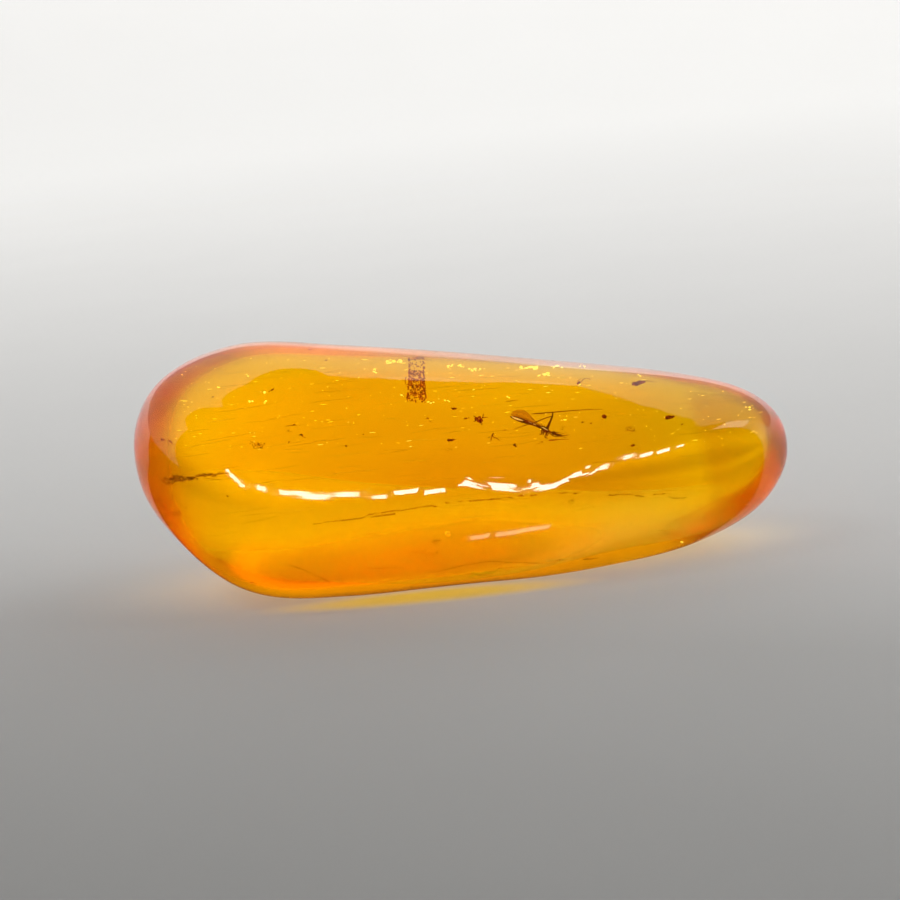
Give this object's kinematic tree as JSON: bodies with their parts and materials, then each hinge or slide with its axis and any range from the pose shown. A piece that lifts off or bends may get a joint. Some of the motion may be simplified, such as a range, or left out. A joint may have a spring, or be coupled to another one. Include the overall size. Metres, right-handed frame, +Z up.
{
  "type": "insect in copal",
  "caption": "Polished, elongated pebble of see-through yellow-orange copal with a long-legged insect and plant debris sealed inside, lying on its ground flat.",
  "frame": {"origin": "centre of the stone's box, on the flat it rests on", "axes": "+X along the stone from the thick end to the slim end, +Y from the ridged front face to the back, +Z up from the resting flat"},
  "size_m": [0.065, 0.029, 0.0232],
  "materials": {
    "copal": "polished, see-through fossil resin, yellow to deep orange with thickness"
  },
  "bodies": {
    "root": {"copal": "copal"}
  },
  "joints": []
}
